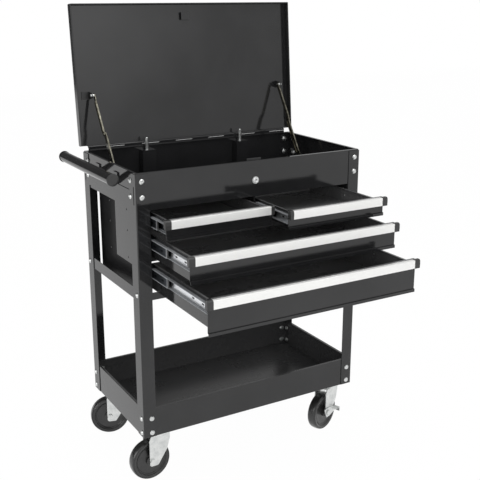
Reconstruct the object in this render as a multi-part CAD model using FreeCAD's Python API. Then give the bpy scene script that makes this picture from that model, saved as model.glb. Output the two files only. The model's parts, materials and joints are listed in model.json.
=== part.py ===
import FreeCAD, Part
import math
import os

# Rolling tool chest: an open steel cart with a lidded top box, four drawers on
# three-piece ball slides, a deep bottom tray and four swivel casters.
# Millimetres. X runs to the right, Y to the back, Z up. The model is laid out
# with the cart's own middle at X = Y = 0 and the floor at Z = 0, and is moved
# at the end so that its origin is the middle of the floor area it covers.

V = FreeCAD.Vector

# ---- driving dimensions -------------------------------------------------

BODY_W = 762.0            # across the corner posts
BODY_D = 406.0            # front to back over the corner posts
CASTER_H = 159.0          # floor to the underside of the posts
FRAME_H = 802.0           # underside of the posts to the rim of the top box

SHEET = 1.5               # folded panels
POST_T = 2.0              # corner posts, side panels and hinge plates
BEND_R = 3.0              # outside radius of a folded edge
CLEAR = 0.3               # gap between pieces that move past each other
PIN_FIT = 0.08            # radial running fit on pins and axles

POST_FRONT = 40.0         # post flange seen from the front
POST_SIDE = 44.0          # post flange seen from the side
POST_DROP = 3.0           # post top below the rim
POST_SLOT_H = 52.0        # oblong slot beside the upper side bolts
POST_SLOT_W = 5.0
POST_SLOT_DROP = 64.5     # its middle below the rim

TOP_BOX_H = 107.0
TRAY_H = 91.5
HEM = 6.5                 # folded-in rim of the top box and bottom tray
SLOT_ROOM = 1.0           # round the lock bars where they pass the box floor

PANEL_DROP = 52.0         # side panel's upper edge below the rim
PANEL_BAND = 47.0         # height of its upper band
PANEL_LEG_W = 112.0       # width of the leg beside the front post
PANEL_LEG_H = 169.0       # how far that leg hangs below the band
PANEL_HOLE_R = 2.5
PANEL_HOLE_INSET = 25.0   # from the front edge of the panel
PANEL_HOLE_DROPS = (61.0, 122.0, 202.0)   # below its upper edge

RAIL_DROP = 8.0           # rails' lower edge below the bottom drawer's front
RAIL_LIP = 18.0
SIDE_RAIL_H = 35.0
FRONT_RAIL_H = 22.0

HOUSING_GAP = 0.5         # from the posts' inner edges to the housing walls
HOUSING_SKIRT = 19.0      # housing below the rails
HOUSING_INSET = 18.0      # rear of the housing ahead of the rear posts' face
HOUSING_FLANGE = 30.0

# ---- drawers --------------------------------------------------------------

STACK_DROP = 6.0          # top box down to the upper drawer fronts
ROW_GAP = 9.5             # between one row of fronts and the next
TOP_FRONT_H = 56.0
MIDDLE_FRONT_H = 76.0
BOTTOM_FRONT_H = 99.0
FLOOR_RISE = 4.0          # drawer floor above the lower edge of its front
BOTTOM_FLOOR_RISE = 16.0  # the same in the bottom drawer

TOP_LEFT_OUT = 98.0       # how far each drawer stands open
TOP_RIGHT_OUT = 175.0
MIDDLE_OUT = 235.0
BOTTOM_OUT = 331.0
TOP_LEFT_LEAD = 36.0      # how far its middle slide member stands ahead of the posts
TOP_RIGHT_LEAD = 75.0
MIDDLE_LEAD = 95.0
BOTTOM_LEAD = 95.0

FACE_GAP = 2.5            # between a drawer front and the posts
CENTRE_GAP = 4.0          # between the two upper drawer fronts
FACE_HEM_H = 10.0         # folded step along the bottom of a front
FACE_HEM_OUT = 4.0
FACE_LIP = 9.0            # folded return on top of a front
DRAWER_BACK_GAP = 21.5    # shut drawer to the back of the housing
DRAWER_DROP = 7.0         # drawer side below the top of its front
DRAWER_RIM = 5.0          # folded-in top edge of the drawer's walls
PULL_H = 24.0
PULL_OUT = 12.0
PULL_T = 1.8
PULL_LIP = 4.0
CAP_W = 11.0              # over the end of the pull
CAP_OVER = 7.5            # beyond the drawer front, ahead of the posts
CAP_LAP = 1.0             # cap above, below and ahead of the pull

RUNNER_DROP = 28.0        # slide centre below the top of the front
SLIDE_T = 12.7
SLIDE_H = 32.0
SLIDE_GAUGE = 1.2
SLIDE_FRONT = 5.0         # slide end behind the posts' front face
SLIDE_SHORT = 10.0        # slide end ahead of the shut drawer's back
MIDDLE_SHORT = 50.0       # middle member shorter than the other two
SLIDE_SLOT_L = 13.0
SLIDE_SLOT_H = 5.0
MIDDLE_SLOTS = (30.0, 75.0)   # from the member's front end
RUNNER_SLOTS = (40.0, 95.0)

# ---- lid, hinge and stays ---------------------------------------------------

LID_SIDE = 7.0            # lid beyond the posts at each end
LID_OVER = 21.6           # and ahead of them
LID_FLANGE = 24.0
LID_RISE = 12.3           # lid top above the hinge axis when closed
LID_SWING = 94.7          # degrees from closed to open
HINGE_R = 3.5
HINGE_PIN_R = 1.6
HINGE_RISE = 9.0          # hinge axis above the rim
HINGE_IN = 19.0           # hinge end from the side of the body
HINGE_LEAF_T = 1.4
HINGE_LEAF_H = 24.0
KNUCKLES = 12
KNUCKLE_GAP = 0.4

STAY_IN = 47.0            # plane of the stays from the side of the body
STAY_T = 2.0
STAY_LIP = 4.5
STAY_UPPER_W = 12.0
STAY_LOWER_W = 16.0
STAY_PIN_R = 3.0
STAY_HEAD_R = 5.0
STAY_COLLAR = 6.5         # from the upper link to its bracket on the lid
STAY_EAR = 20.0           # length kept clear of lips at a pivot on a bracket
STAY_LID_AT = 157.0       # pivot on the lid, from the hinge axis
STAY_LID_OFF = 13.4       # and towards the inside of the lid
STAY_LOWER = 142.0        # lower link; the upper one makes up the open length
ANCHOR_AHEAD = 148.8      # pivot in the box, ahead of the hinge axis
ANCHOR_DROP = 71.4        # and below it
BRACKET_FOOT = 25.0       # foot plate beside the ear of a lid bracket

CATCH_W = 29.0
CATCH_L = 24.0
CATCH_H = 9.0
CATCH_IN = 18.5           # middle of the catch behind the front of the body

# ---- locks --------------------------------------------------------------------

LOCK_DROP = 58.0          # key lock below the rim
LOCK_R = 11.0
RING_T = 2.5
BARREL_R = 7.5
BARREL_OUT = 3.0          # barrel ahead of the front panel
SLEEVE_T = 2.0
LOCK_DEPTH = 24.0
KEY_SLOT = (1.6, 8.0, 2.5)    # width, height and depth
CAM_W = 14.0
CAM_REACH = 26.0
LATCH_W = 48.0
LATCH_RISE = 6.5          # latch plate above the rim
LATCH_SKIRT = 16.5        # and below the key lock's axis
ROD_X = 172.0
ROD_R = 4.5
ROD_RISE = 27.0           # rod top above the rim, lid open
ROD_FOOT = 14.0           # round part's lower end above the box floor
ROD_CHAMFER = 1.5
ROD_BAR_W = 16.0          # flat bar behind the drawers
ROD_BAR_T = 3.0
ROD_BAR_UP = 65.0         # its lower end above the housing's lower edge
ROD_GAP = 0.5             # from the housing to the bar
CHANNEL_W = 46.0
CHANNEL_AHEAD = 20.5      # guide's front face ahead of the rod
CHANNEL_DROP = 11.0       # its top below the rim
CHANNEL_UP = 4.0          # and its lower end above the floor, clear of the fold

# ---- handle ---------------------------------------------------------------------

HANDLE_R = 16.0
HANDLE_T = 2.0
HANDLE_L = 390.0
HANDLE_Y = 8.0
HANDLE_OUT = 59.0         # tube axis out from the side of the cart
HANDLE_DROP = 13.0        # and below the rim
PLUG_R = 17.5
PLUG_H = 5.0
ARM_SPACING = 140.0
ARM_W = 30.0
ARM_T = 4.0
ARM_FOOT_H = 32.0

# ---- fasteners --------------------------------------------------------------------

HEAD_R = 8.0
HEAD_H = 4.0
NUT_R = 7.5
NUT_H = 5.0
BOLT_FRONT_IN = 19.0      # from the corner on a front or rear flange
BOLT_LEFT_IN = 26.5       # the same, beside the tray on the left
BOLT_SIDE_IN = 15.0       # from the corner on a side flange
BOLT_BOX_SIDE_IN = 37.0
BOX_BOLT_DROPS = (24.0, 69.0)     # below the rim
TRAY_BOLT_RISES = (60.0, 14.0)    # above the post's lower end

# ---- casters -----------------------------------------------------------------------

WHEEL_R = 63.5
WHEEL_W = 31.0
WHEEL_CROWN = 5.0
WHEEL_DISH = 5.0          # depth of the recess in each face
HUB_R = 17.0
HUB_W = 38.0
AXLE_R = 6.0
AXLE_HEAD_R = 9.6
AXLE_HEAD_H = 4.0
CASTER_IN_X = 64.0        # swivel axis in from the side of the body
CASTER_IN_Y = 44.0
WHEEL_OFFSET = 31.5       # axle behind the swivel axis
PLATE_X = 95.0
PLATE_Y = 75.0
PLATE_T = 3.0
PLATE_CORNER = 8.0
KINGPIN_R = 6.0
KINGPIN_HEAD_R = 10.0
KINGPIN_HEAD_H = 4.0
RACE_R = 27.0
RACE_H = 8.0
FORK_T = 3.0
FORK_IN = 20.5            # inside half width of the fork
FORK_FRONT = 28.0         # fork's upper end ahead of the swivel axis
FORK_BACK = 9.5           # its rear edge behind the axle
FORK_FOOT_L = 28.0        # its lower end, front to back
FORK_BELOW = 16.5         # and how far that lies below the axle
FORK_SHOULDER = 19.0      # height of its slanted upper corner
FORK_KNEE = 18.0          # bend of its front edge, ahead of the swivel axis
FORK_KNEE_UP = 30.5       # and above the axle
FORK_CORNER = 8.0
BRAKE_T = 3.0
BRAKE_AHEAD = 47.0        # lever's front end from the axle
BRAKE_BEHIND = 20.0
BRAKE_UP = 16.0           # lever's half height
BRAKE_PEDAL = 20.0        # width of its folded tread

# corner name, side, end, degrees that the wheel is turned from trailing to -X, brake
CASTERS = {
    "front_left": (-1, -1, 2.0, False),
    "front_right": (1, -1, 20.7, True),
    "rear_left": (-1, 1, -17.0, False),
    "rear_right": (1, 1, -12.0, True),
}

# ---- worked out from the driving dimensions ---------------------------------------

HALF_W = BODY_W / 2
HALF_D = BODY_D / 2
RIM_Z = CASTER_H + FRAME_H
BOX_X = HALF_W - POST_T
BOX_Y = HALF_D - POST_T
BOX_Z = RIM_Z - TOP_BOX_H
OPENING_X = HALF_W - POST_FRONT
WALL_X = OPENING_X - HOUSING_GAP
RUNNER_X = WALL_X - SHEET
FACE_X = OPENING_X - FACE_GAP
PANEL_TOP = RIM_Z - PANEL_DROP

TOP_ROW = BOX_Z - STACK_DROP
MIDDLE_ROW = TOP_ROW - TOP_FRONT_H - ROW_GAP
BOTTOM_ROW = MIDDLE_ROW - MIDDLE_FRONT_H - ROW_GAP
RAIL_Z = BOTTOM_ROW - BOTTOM_FRONT_H - RAIL_DROP
HOUSING_Z = RAIL_Z - HOUSING_SKIRT
HOUSING_BACK = HALF_D - HOUSING_INSET
DRAWER_DEPTH = HOUSING_BACK - SHEET - DRAWER_BACK_GAP + HALF_D
SLIDE_L = DRAWER_DEPTH - SLIDE_FRONT - SLIDE_SHORT

# top and height of the front, floor above its lower edge, distance open,
# middle slide member ahead of the posts
DRAWERS = {
    "top_left": (TOP_ROW, TOP_FRONT_H, FLOOR_RISE, TOP_LEFT_OUT, TOP_LEFT_LEAD),
    "top_right": (TOP_ROW, TOP_FRONT_H, FLOOR_RISE, TOP_RIGHT_OUT, TOP_RIGHT_LEAD),
    "middle": (MIDDLE_ROW, MIDDLE_FRONT_H, FLOOR_RISE, MIDDLE_OUT, MIDDLE_LEAD),
    "bottom": (BOTTOM_ROW, BOTTOM_FRONT_H, BOTTOM_FLOOR_RISE, BOTTOM_OUT, BOTTOM_LEAD),
}

LID_D = BODY_D + LID_OVER
HINGE_Y = HALF_D + HINGE_R
HINGE_Z = RIM_Z + HINGE_RISE
HINGE_X = HALF_W - HINGE_IN
STAY_X = HALF_W - STAY_IN
LOCK_Z = RIM_Z - LOCK_DROP
ROD_Y = HOUSING_BACK + ROD_GAP + ROD_BAR_T / 2
HANDLE_X = -HALF_W - HANDLE_OUT
HANDLE_Z = RIM_Z - HANDLE_DROP
FORK_Z = CASTER_H - PLATE_T - RACE_H


def block(x0, x1, y0, y1, z0, z1):
    size = (abs(x1 - x0), abs(y1 - y0), abs(z1 - z0))
    return Part.makeBox(*size, V(min(x0, x1), min(y0, y1), min(z0, z1)))


def round_bar(radius, start, end):
    way = V(*end) - V(*start)
    return Part.makeCylinder(radius, way.Length, V(*start), way)


def prism(points, axis, start, length):
    """Extrude an outline given in the plane across the named axis."""
    place = {
        "x": lambda u, v: V(start, u, v),
        "y": lambda u, v: V(u, start, v),
        "z": lambda u, v: V(u, v, start),
    }[axis]
    way = {"x": V(length, 0, 0), "y": V(0, length, 0), "z": V(0, 0, length)}[axis]
    corners = [place(u, v) for u, v in points]
    return Part.Face(Part.makePolygon(corners + corners[:1])).extrude(way)


def revolve(points, centre, axis):
    """Turn an outline of (along the axis, radius) pairs round a line."""
    along = V(*axis)
    across = V(0, 0, 1) if abs(along.z) < 0.5 else V(1, 0, 0)
    corners = [V(*centre) + along * a + across * r for a, r in points]
    face = Part.Face(Part.makePolygon(corners + corners[:1]))
    return face.revolve(V(*centre), along, 360)


def joined(shapes):
    shapes = list(shapes)
    if len(shapes) == 1:
        return shapes[0]
    return shapes[0].multiFuse(shapes[1:]).removeSplitter()


def cut(shape, cutters):
    for cutter in cutters:
        shape = shape.cut(cutter)
    return shape


def group(shapes):
    return Part.makeCompound([solid for shape in shapes for solid in shape.Solids])


def mirror_x(shape):
    return shape.mirror(V(0, 0, 0), V(1, 0, 0))


def mirror_y(shape):
    return shape.mirror(V(0, 0, 0), V(0, 1, 0))


def turned(shape, centre, axis, degrees):
    shape = shape.copy()
    shape.rotate(V(*centre), V(*axis), degrees)
    return shape


def soften(shape, radius, wanted):
    """Round the straight edges that the test picks out."""
    edges = [edge for edge in shape.Edges if wanted(edge)]
    return shape.makeFillet(radius, edges)


def upright(edge, x=None, y=None):
    box = edge.BoundBox
    centre = box.Center
    tall = box.ZLength > 1 and box.XLength < 0.01 and box.YLength < 0.01
    return tall and (x is None or abs(centre.x - x) < 0.01) and (y is None or abs(centre.y - y) < 0.01)


def level(edge, z):
    box = edge.BoundBox
    return box.ZLength < 0.01 and abs(box.Center.z - z) < 0.01


def slot_cutter(x0, x1, y, z_mid, height, width):
    """Upright oblong hole through a side flange."""
    half = height / 2 - width / 2
    ends = [round_bar(width / 2, (x0, y, z_mid + k * half), (x1, y, z_mid + k * half)) for k in (-1, 1)]
    return joined([block(x0, x1, y - width / 2, y + width / 2, z_mid - half, z_mid + half)] + ends)


# ---- fixed frame -------------------------------------------------------------------


def corner_post():
    """Front left post: a folded angle with a rounded outer corner."""
    outline = [
        (-HALF_W, -HALF_D),
        (-HALF_W + POST_FRONT, -HALF_D),
        (-HALF_W + POST_FRONT, -HALF_D + POST_T),
        (-HALF_W + POST_T, -HALF_D + POST_T),
        (-HALF_W + POST_T, -HALF_D + POST_SIDE),
        (-HALF_W, -HALF_D + POST_SIDE),
    ]
    post = prism(outline, "z", CASTER_H, FRAME_H - POST_DROP)
    post = soften(post, BEND_R, lambda edge: upright(edge, -HALF_W, -HALF_D))
    slot_z = RIM_Z - POST_SLOT_DROP
    slot_y = -HALF_D + BOLT_SIDE_IN
    outside, inside = -HALF_W - 1, -HALF_W + POST_T + 1
    return post.cut(slot_cutter(outside, inside, slot_y, slot_z, POST_SLOT_H, POST_SLOT_W))


def posts():
    post = corner_post()
    return {
        "post_front_left": post,
        "post_front_right": mirror_x(post),
        "post_rear_left": mirror_y(post),
        "post_rear_right": mirror_y(mirror_x(post)),
    }


def pan(z0, z1):
    """Open pan that fits inside the posts, with folded corners and a rim."""
    outer = block(-BOX_X, BOX_X, -BOX_Y, BOX_Y, z0, z1)
    outer = soften(outer, BEND_R, upright)
    inner = block(-BOX_X + SHEET, BOX_X - SHEET, -BOX_Y + SHEET, BOX_Y - SHEET, z0 + SHEET, z1 - SHEET)
    inner = soften(inner, BEND_R - SHEET, upright)
    edge = SHEET + HEM
    mouth = block(-BOX_X + edge, BOX_X - edge, -BOX_Y + edge, BOX_Y - edge, z0 + SHEET, z1 + 1)
    return cut(outer, [inner, mouth])


def top_box():
    """Box under the lid, pierced for the key lock and the two lock rods."""
    box = pan(BOX_Z, RIM_Z)
    holes = [round_bar(BARREL_R + SLEEVE_T, (0, -HALF_D, LOCK_Z), (0, -BOX_Y + 2 * SHEET, LOCK_Z))]
    width, depth = ROD_BAR_W / 2 + SLOT_ROOM, ROD_BAR_T / 2 + SLOT_ROOM
    for x in (-ROD_X, ROD_X):
        under, above = BOX_Z - SHEET, BOX_Z + 2 * SHEET
        holes.append(block(x - width, x + width, ROD_Y - depth, ROD_Y + depth, under, above))
    return cut(box, holes)


def side_panels():
    """Upside-down L plates that close the sides between the posts."""
    front = -HALF_D + POST_SIDE
    back = HALF_D - POST_SIDE
    band = PANEL_TOP - PANEL_BAND
    outline = [
        (front, PANEL_TOP),
        (back, PANEL_TOP),
        (back, band),
        (front + PANEL_LEG_W, band),
        (front + PANEL_LEG_W, band - PANEL_LEG_H),
        (front, band - PANEL_LEG_H),
    ]
    plate = prism(outline, "x", -HALF_W, POST_T)
    hole_y = front + PANEL_HOLE_INSET
    for drop in PANEL_HOLE_DROPS:
        z = PANEL_TOP - drop
        start, end = (-HALF_W - 1, hole_y, z), (-HALF_W + POST_T + 1, hole_y, z)
        plate = plate.cut(round_bar(PANEL_HOLE_R, start, end))
    return group([plate, mirror_x(plate)])


def side_rails():
    """Angles between the posts below the drawers."""
    x = -HALF_W + POST_T
    outline = [
        (x, RAIL_Z),
        (x + RAIL_LIP, RAIL_Z),
        (x + RAIL_LIP, RAIL_Z + SHEET),
        (x + SHEET, RAIL_Z + SHEET),
        (x + SHEET, RAIL_Z + SIDE_RAIL_H),
        (x, RAIL_Z + SIDE_RAIL_H),
    ]
    reach = HALF_D - POST_T - SHEET
    rail = prism(outline, "y", -reach, 2 * reach)
    return group([rail, mirror_x(rail)])


def front_rail():
    """Angle under the bottom drawer, between the two side rails."""
    y = -HALF_D + POST_T
    outline = [
        (y, RAIL_Z),
        (y + RAIL_LIP, RAIL_Z),
        (y + RAIL_LIP, RAIL_Z + SHEET),
        (y + SHEET, RAIL_Z + SHEET),
        (y + SHEET, RAIL_Z + FRONT_RAIL_H),
        (y, RAIL_Z + FRONT_RAIL_H),
    ]
    half = HALF_W - POST_T - RAIL_LIP
    rail = prism(outline, "x", -half, 2 * half)
    tab = block(half, HALF_W - POST_T - SHEET, y, y + SHEET, RAIL_Z + SHEET, RAIL_Z + FRONT_RAIL_H)
    return joined([rail, tab, mirror_x(tab)])


def drawer_housing():
    """Folded wrapper round the drawers: two walls, a back and front flanges."""
    front = -HALF_D + POST_T
    outer = [
        (-WALL_X - HOUSING_FLANGE, front),
        (-WALL_X + SHEET, front),
        (-WALL_X + SHEET, HOUSING_BACK - SHEET),
        (WALL_X - SHEET, HOUSING_BACK - SHEET),
        (WALL_X - SHEET, front),
        (WALL_X + HOUSING_FLANGE, front),
        (WALL_X + HOUSING_FLANGE, front + SHEET),
        (WALL_X, front + SHEET),
        (WALL_X, HOUSING_BACK),
        (-WALL_X, HOUSING_BACK),
        (-WALL_X, front + SHEET),
        (-WALL_X - HOUSING_FLANGE, front + SHEET),
    ]
    wrap = prism(outer, "z", HOUSING_Z, BOX_Z - HOUSING_Z)
    rail = block(-HALF_W, HALF_W, -HALF_D, front + RAIL_LIP + 1, HOUSING_Z - 1, RAIL_Z + FRONT_RAIL_H)
    return wrap.cut(rail)


def centre_divider():
    """Upright channel between the two upper drawers, hung from the box."""
    bottom = TOP_ROW - TOP_FRONT_H
    half = CENTRE_GAP / 2
    front = -HALF_D + POST_T + 2 * SHEET
    plates = [
        block(side * (half - SHEET), side * half, front, HOUSING_BACK - SHEET, bottom, BOX_Z)
        for side in (-1, 1)
    ]
    foot = block(-half, half, front, HOUSING_BACK - SHEET, bottom, bottom + SHEET)
    return joined(plates + [foot])


def bottom_tray():
    return pan(CASTER_H, CASTER_H + TRAY_H)


# ---- handle -------------------------------------------------------------------------


def handle_tube():
    y0, y1 = HANDLE_Y - HANDLE_L / 2, HANDLE_Y + HANDLE_L / 2
    tube = round_bar(HANDLE_R, (HANDLE_X, y0, HANDLE_Z), (HANDLE_X, y1, HANDLE_Z))
    bore = round_bar(HANDLE_R - HANDLE_T, (HANDLE_X, y0 - 1, HANDLE_Z), (HANDLE_X, y1 + 1, HANDLE_Z))
    return tube.cut(bore)


def handle_plugs():
    """Flanged plugs with a shallow dome in both ends of the tube."""
    stem = HANDLE_R - HANDLE_T
    outline = [
        (PLUG_H, 0),
        (PLUG_H, PLUG_R * 0.7),
        (PLUG_H * 0.4, PLUG_R),
        (0, PLUG_R),
        (0, stem),
        (-HANDLE_R, stem),
        (-HANDLE_R, 0),
    ]
    ends = []
    for way in (-1, 1):
        end = (HANDLE_X, HANDLE_Y + way * HANDLE_L / 2, HANDLE_Z)
        ends.append(revolve(outline, end, (0, way, 0)))
    return group(ends)


def handle_brackets():
    """Bent flat arms from the side of the box up to the tube."""
    wall = -BOX_X
    foot = PANEL_TOP + SHEET
    knee = foot + ARM_T * 1.5
    outline = [
        (wall, foot),
        (wall, foot + ARM_FOOT_H),
        (wall - ARM_T, foot + ARM_FOOT_H),
        (wall - ARM_T, knee + ARM_T),
        (HANDLE_X, HANDLE_Z + ARM_T / 2),
        (HANDLE_X, HANDLE_Z - ARM_T / 2),
        (wall - ARM_T, foot),
    ]
    tube = round_bar(HANDLE_R, (HANDLE_X, -HALF_D * 2, HANDLE_Z), (HANDLE_X, HALF_D * 2, HANDLE_Z))
    arms = []
    for way in (-1, 1):
        middle = HANDLE_Y + way * ARM_SPACING / 2
        arms.append(prism(outline, "y", middle - ARM_W / 2, ARM_W).cut(tube))
    return group(arms)


# ---- fasteners -----------------------------------------------------------------------


def hexagon(radius, height, surface, axis):
    """Hexagonal prism that stands on a surface and points along the axis."""
    turns = [math.radians(60 * k) for k in range(6)]
    corners = [(radius * math.cos(turn), radius * math.sin(turn)) for turn in turns]
    shape = prism(corners, "z", 0, height)
    shape.Placement = FreeCAD.Placement(V(*surface), FreeCAD.Rotation(V(0, 0, 1), V(*axis)))
    return shape


def bolt(surface, axis, inner):
    """Hexagon head on the outer face and a nut on the inner one."""
    inside = V(*surface) - V(*axis) * (inner + NUT_H)
    return [hexagon(HEAD_R, HEAD_H, surface, axis), hexagon(NUT_R, NUT_H, inside, axis)]


def frame_bolts():
    through = POST_T + SHEET
    parts = []
    box = [RIM_Z - drop for drop in BOX_BOLT_DROPS]
    tray = [CASTER_H + rise for rise in TRAY_BOLT_RISES]
    for side in (-1, 1):
        for end in (-1, 1):
            for z in box + tray:
                inset = BOLT_LEFT_IN if side < 0 and z in tray else BOLT_FRONT_IN
                x = side * (HALF_W - inset)
                parts += bolt((x, end * HALF_D, z), (0, end, 0), through)
            for z in tray + [RAIL_Z + SIDE_RAIL_H / 2]:
                y = end * (HALF_D - BOLT_SIDE_IN)
                parts += bolt((side * HALF_W, y, z), (side, 0, 0), through)
            for z in box:
                y = end * (HALF_D - BOLT_BOX_SIDE_IN)
                parts += bolt((side * HALF_W, y, z), (side, 0, 0), through)
    return group(parts)


# ---- hinge and lid --------------------------------------------------------------------


def knuckle_spans(odd):
    pitch = 2 * HINGE_X / KNUCKLES
    for k in range(KNUCKLES):
        if k % 2 == odd:
            x = -HINGE_X + k * pitch
            yield x + KNUCKLE_GAP / 2, x + pitch - KNUCKLE_GAP / 2


def hinge_leaf(odd, way, height):
    """Hinge plate whose alternate knuckles wrap the pin; way is its side of the axis."""
    y = HINGE_Y - HINGE_R
    near = HINGE_Z + way * (HINGE_R + CLEAR)
    far = HINGE_Z + way * height
    shapes = [block(-HINGE_X, HINGE_X, y, y + HINGE_LEAF_T, near, far)]
    for x0, x1 in knuckle_spans(odd):
        shapes.append(round_bar(HINGE_R, (x0, HINGE_Y, HINGE_Z), (x1, HINGE_Y, HINGE_Z)))
        shapes.append(block(x0, x1, y, y + HINGE_LEAF_T, HINGE_Z, near))
    pin = round_bar(HINGE_PIN_R + PIN_FIT, (-HALF_W, HINGE_Y, HINGE_Z), (HALF_W, HINGE_Y, HINGE_Z))
    return joined(shapes).cut(pin)


def hinge_box_leaf():
    leaf = hinge_leaf(0, -1, HINGE_LEAF_H)
    pin = round_bar(HINGE_PIN_R, (-HINGE_X, HINGE_Y, HINGE_Z), (HINGE_X, HINGE_Y, HINGE_Z))
    return group([leaf, pin])


def opened(shape):
    """Swing a piece of the closed lid to its open position."""
    return turned(shape, (0, HINGE_Y, HINGE_Z), (1, 0, 0), -LID_SWING)


def hinge_lid_leaf():
    return opened(hinge_leaf(1, 1, LID_RISE - SHEET))


def lid_panel():
    """Folded lid: a plate with flanges down all four sides, rear one short."""
    top = HINGE_Z + LID_RISE
    back = HINGE_Y - HINGE_R
    front = back - LID_D
    half = HALF_W + LID_SIDE
    shell = block(-half, half, front, back, top - LID_FLANGE, top)
    shell = soften(shell, BEND_R, lambda edge: upright(edge) or level(edge, top))
    inner = half - SHEET
    hollow = block(-inner, inner, front + SHEET, back - SHEET, top - LID_FLANGE - 1, top - SHEET)
    below = block(-half, half, back - SHEET - 1, back + 1, top - LID_FLANGE - 1, HINGE_Z + CLEAR + HINGE_R)
    return opened(cut(shell, [hollow, below]))


def lid_to_cart(y_from_axis, z_from_axis):
    """A point given from the hinge axis of the closed lid, where it lies when open."""
    swing = math.radians(-LID_SWING)
    y = y_from_axis * math.cos(swing) - z_from_axis * math.sin(swing)
    z = y_from_axis * math.sin(swing) + z_from_axis * math.cos(swing)
    return HINGE_Y + y, HINGE_Z + z


def lid_brackets():
    """Angle brackets for the stays and the catch for the key lock."""
    under = HINGE_Z + LID_RISE - SHEET
    y = HINGE_Y - STAY_LID_AT
    z = HINGE_Z - STAY_LID_OFF
    link_face = STAY_X + STAY_T / 2
    ear_x = link_face + STAY_COLLAR
    half = STAY_UPPER_W
    tip = STAY_HEAD_R * 1.5
    outline = [
        (y - half, under),
        (y + half, under),
        (y + tip, z - tip / 2),
        (y + tip / 2, z - tip),
        (y - tip / 2, z - tip),
        (y - tip, z - tip / 2),
    ]
    parts = []
    for side in (-1, 1):
        ear = prism(outline, "x", side * ear_x, side * STAY_T)
        foot = block(side * ear_x, side * (ear_x + BRACKET_FOOT), y - half, y + half, under - STAY_T, under)
        pin = round_bar(STAY_PIN_R, (side * (link_face - STAY_T - CLEAR), y, z), (side * ear_x, y, z))
        collar = round_bar(STAY_HEAD_R, (side * (link_face + CLEAR), y, z), (side * ear_x, y, z))
        near, far = side * (ear_x + STAY_T), side * (ear_x + 2.5 * STAY_T)
        head = round_bar(STAY_HEAD_R, (near, y, z), (far, y, z))
        parts.append(joined([ear, foot, pin, collar, head]))
    catch_y = -HALF_D + CATCH_IN
    half = CATCH_L / 2
    outer = block(-CATCH_W / 2, CATCH_W / 2, catch_y - half, catch_y + half, under - CATCH_H, under)
    inner = block(-CATCH_W, CATCH_W, catch_y - half + STAY_T, catch_y + half - STAY_T,
                  under - CATCH_H + STAY_T, under - STAY_T / 2)
    parts.append(outer.cut(inner))
    return opened(group(parts))


# ---- folding stays ---------------------------------------------------------------------


def stay_points():
    """Lid pivot, elbow and box pivot as (Y, Z), in line with the lid open."""
    top = lid_to_cart(-STAY_LID_AT, -STAY_LID_OFF)
    foot = (HINGE_Y - ANCHOR_AHEAD, HINGE_Z - ANCHOR_DROP)
    share = STAY_LOWER / math.hypot(top[0] - foot[0], top[1] - foot[1])
    bend = (foot[0] + share * (top[0] - foot[0]), foot[1] + share * (top[1] - foot[1]))
    return top, bend, foot


def link(pivot, bend, width, x0, way):
    """Pressed steel link: a web with rounded ends, folded lips and the elbow rivet."""
    length = math.hypot(bend[0] - pivot[0], bend[1] - pivot[1])
    half = width / 2
    face = STAY_T if way > 0 else 0
    lip_end = STAY_LIP if way > 0 else STAY_T - STAY_LIP
    shapes = [block(0, STAY_T, 0, length, -half, half)]
    shapes += [round_bar(half, (0, y, 0), (STAY_T, y, 0)) for y in (0, length)]
    shapes += [
        block(0, lip_end, STAY_EAR, length - half, k * half, k * (half - STAY_T * 0.6))
        for k in (-1, 1)
    ]
    shapes.append(round_bar(STAY_PIN_R * 1.6, (face, length, 0), (face + way * STAY_T, length, 0)))
    hole = round_bar(STAY_PIN_R + PIN_FIT, (-STAY_T, 0, 0), (2 * STAY_T, 0, 0))
    angle = math.degrees(math.atan2(bend[1] - pivot[1], bend[0] - pivot[0]))
    body = turned(joined(shapes).cut(hole), (0, 0, 0), (1, 0, 0), angle)
    body.translate(V(x0, pivot[0], pivot[1]))
    return body


def stays():
    """Upper links hang from the lid and lower ones stand in the box."""
    top, bend, foot = stay_points()
    upper = link(top, bend, STAY_UPPER_W, STAY_X - STAY_T / 2, 1)
    lower = link(foot, bend, STAY_LOWER_W, STAY_X - STAY_T * 1.5 - CLEAR, -1)
    return {
        "stay_upper_right": upper,
        "stay_upper_left": mirror_x(upper),
        "stay_lower_right": lower,
        "stay_lower_left": mirror_x(lower),
    }


def stay_anchor():
    """Right-hand bracket from the side wall of the box to the lower link."""
    y, z = stay_points()[2]
    wall = BOX_X - SHEET
    ear_x = STAY_X - STAY_T / 2
    half = STAY_LOWER_W * 0.7
    ear = block(ear_x, ear_x + STAY_T, y - half, y + half, z - half, z + half)
    web = block(ear_x, wall, y - half, y + half, z - half, z - half + STAY_T)
    foot = block(wall - STAY_T, wall, y - half, y + half, z - half * 2, z - half + STAY_T)
    pin = round_bar(STAY_PIN_R, (ear_x - STAY_T - 2 * CLEAR, y, z), (ear_x, y, z))
    return joined([ear, web, foot, pin])


# ---- lid-operated lock rods and key lock -------------------------------------------------


def lock_channel(x):
    """Guide for one lock rod, folded round it on the rear wall of the box."""
    wall = BOX_Y - SHEET
    front = ROD_Y - CHANNEL_AHEAD
    low = BOX_Z + SHEET + CHANNEL_UP
    top = RIM_Z - CHANNEL_DROP
    half = CHANNEL_W / 2
    outer = block(x - half, x + half, front, wall, low, top)
    inner = block(x - half + SHEET, x + half - SHEET, front + SHEET, wall + SHEET, low - SHEET, top - SHEET)
    hole = round_bar(ROD_R + CLEAR, (x, ROD_Y, top - 2 * SHEET), (x, ROD_Y, top + SHEET))
    return cut(outer, [inner, hole])


def box_brackets():
    anchor = stay_anchor()
    return group([anchor, mirror_x(anchor), lock_channel(-ROD_X), lock_channel(ROD_X)])


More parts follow.
